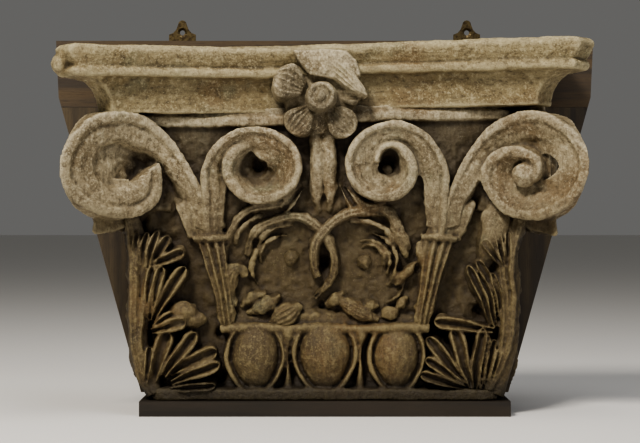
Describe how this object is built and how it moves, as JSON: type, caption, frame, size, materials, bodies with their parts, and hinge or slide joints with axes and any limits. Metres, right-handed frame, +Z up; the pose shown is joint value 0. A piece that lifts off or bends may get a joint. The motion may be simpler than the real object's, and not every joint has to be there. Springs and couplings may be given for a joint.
{
  "type": "corinthian pilaster capital",
  "caption": "Carved and painted wooden Corinthian pilaster capital with corner volutes, scrollwork and an egg band, on a tapered backboard with a ledge.",
  "frame": {"origin": "under the middle of the whole work, at the height of the ledge's underside", "axes": "+X along the front towards the viewer's right, +Y back towards the wall, +Z up"},
  "size_m": [0.816, 0.2248, 0.59],
  "materials": {
    "carved_wood": "worn cream paint and brown patina over carved wood",
    "rail_wood": "stained plank, matt",
    "panel_wood": "stained board, matt",
    "ledge_wood": "stained plank, matt",
    "plate_brass": "dull, tarnished",
    "screw_steel": "dull"
  },
  "bodies": {
    "root": {"capital": "carved_wood", "backboard_rail": "rail_wood", "backboard_panel": "panel_wood", "base_ledge": "ledge_wood", "hanger_plate_left": "plate_brass", "hanger_plate_right": "plate_brass", "hanger_screw_left_1": "screw_steel", "hanger_screw_left_2": "screw_steel", "hanger_screw_right_1": "screw_steel", "hanger_screw_right_2": "screw_steel"}
  },
  "joints": []
}
